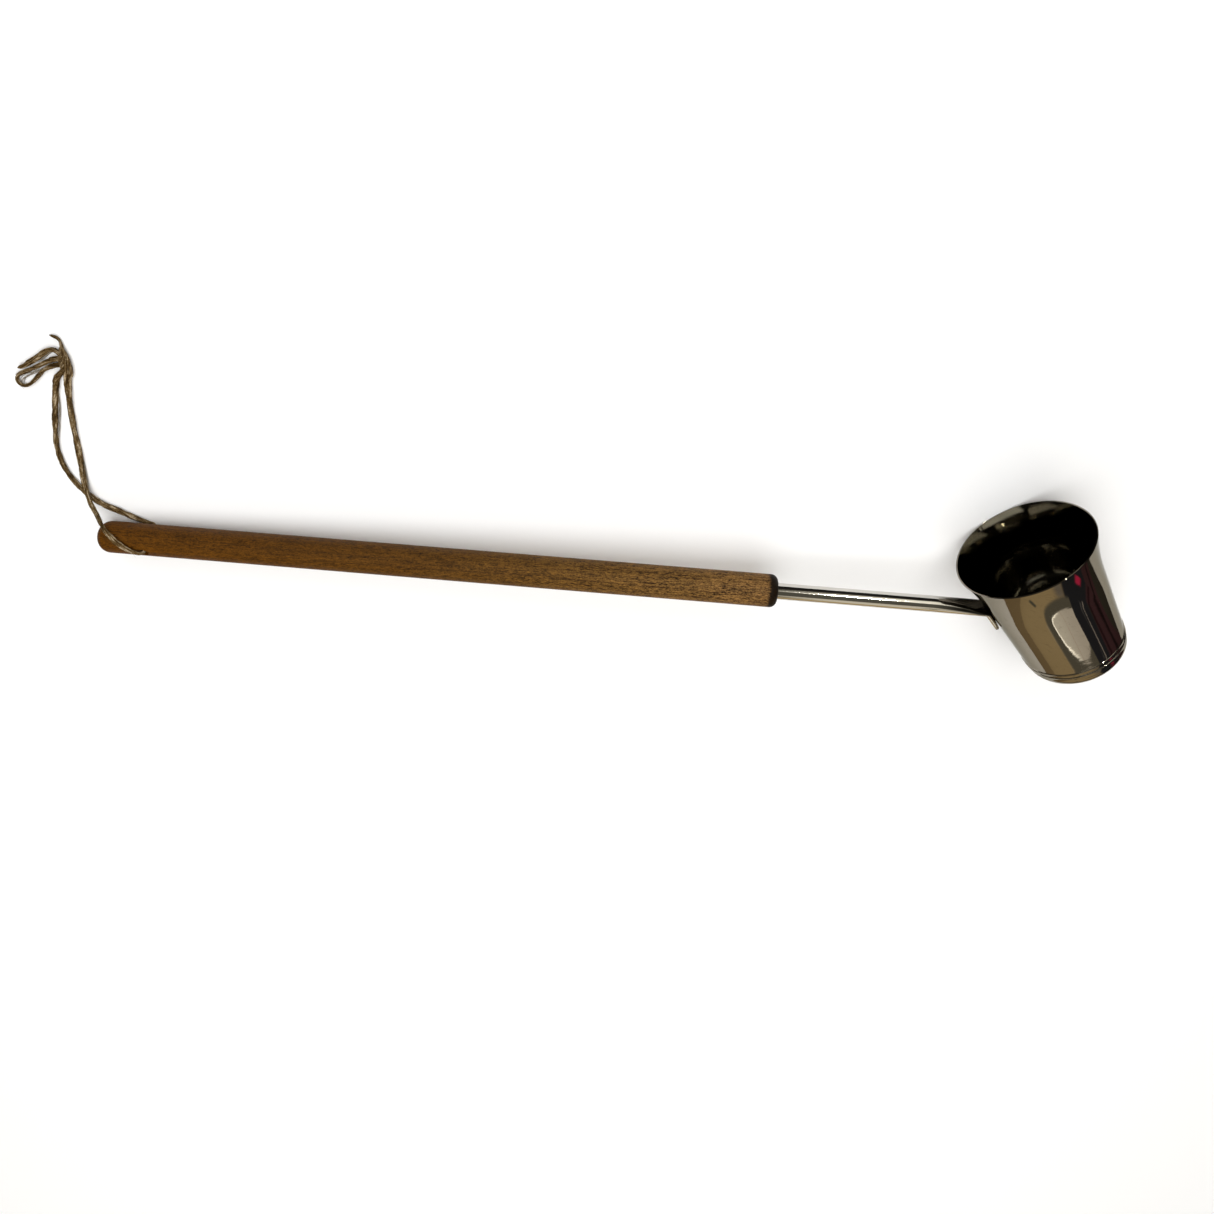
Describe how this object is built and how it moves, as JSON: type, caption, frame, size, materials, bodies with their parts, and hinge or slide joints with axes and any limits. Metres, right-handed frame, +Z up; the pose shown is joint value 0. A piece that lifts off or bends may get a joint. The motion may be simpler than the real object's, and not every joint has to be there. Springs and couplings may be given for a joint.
{
  "type": "sauna ladle",
  "caption": "Sauna ladle: flared steel cup on a pressed steel tube in a long round beech handle, with a jute twine tied in a bow to hang it up.",
  "frame": {"origin": "under the middle of the ladle's box (handle, stem and cup, without the twine), on the floor it lies on", "axes": "+X level along the handle, from its far end to the cup; +Z up; +Y the side that the cup opens to"},
  "size_m": [0.5294, 0.133, 0.0609],
  "materials": {
    "beech": "oiled beech, smooth",
    "polished_steel": "mirror-polished stainless steel",
    "jute": "natural jute twine"
  },
  "bodies": {
    "root": {"handle": "beech", "stem": "polished_steel", "cup": "polished_steel", "twine_knot": "jute", "twine_front_strand": "jute", "twine_back_strand": "jute", "twine_bow_loop": "jute", "twine_bow_end": "jute", "twine_tail": "jute"}
  },
  "joints": []
}
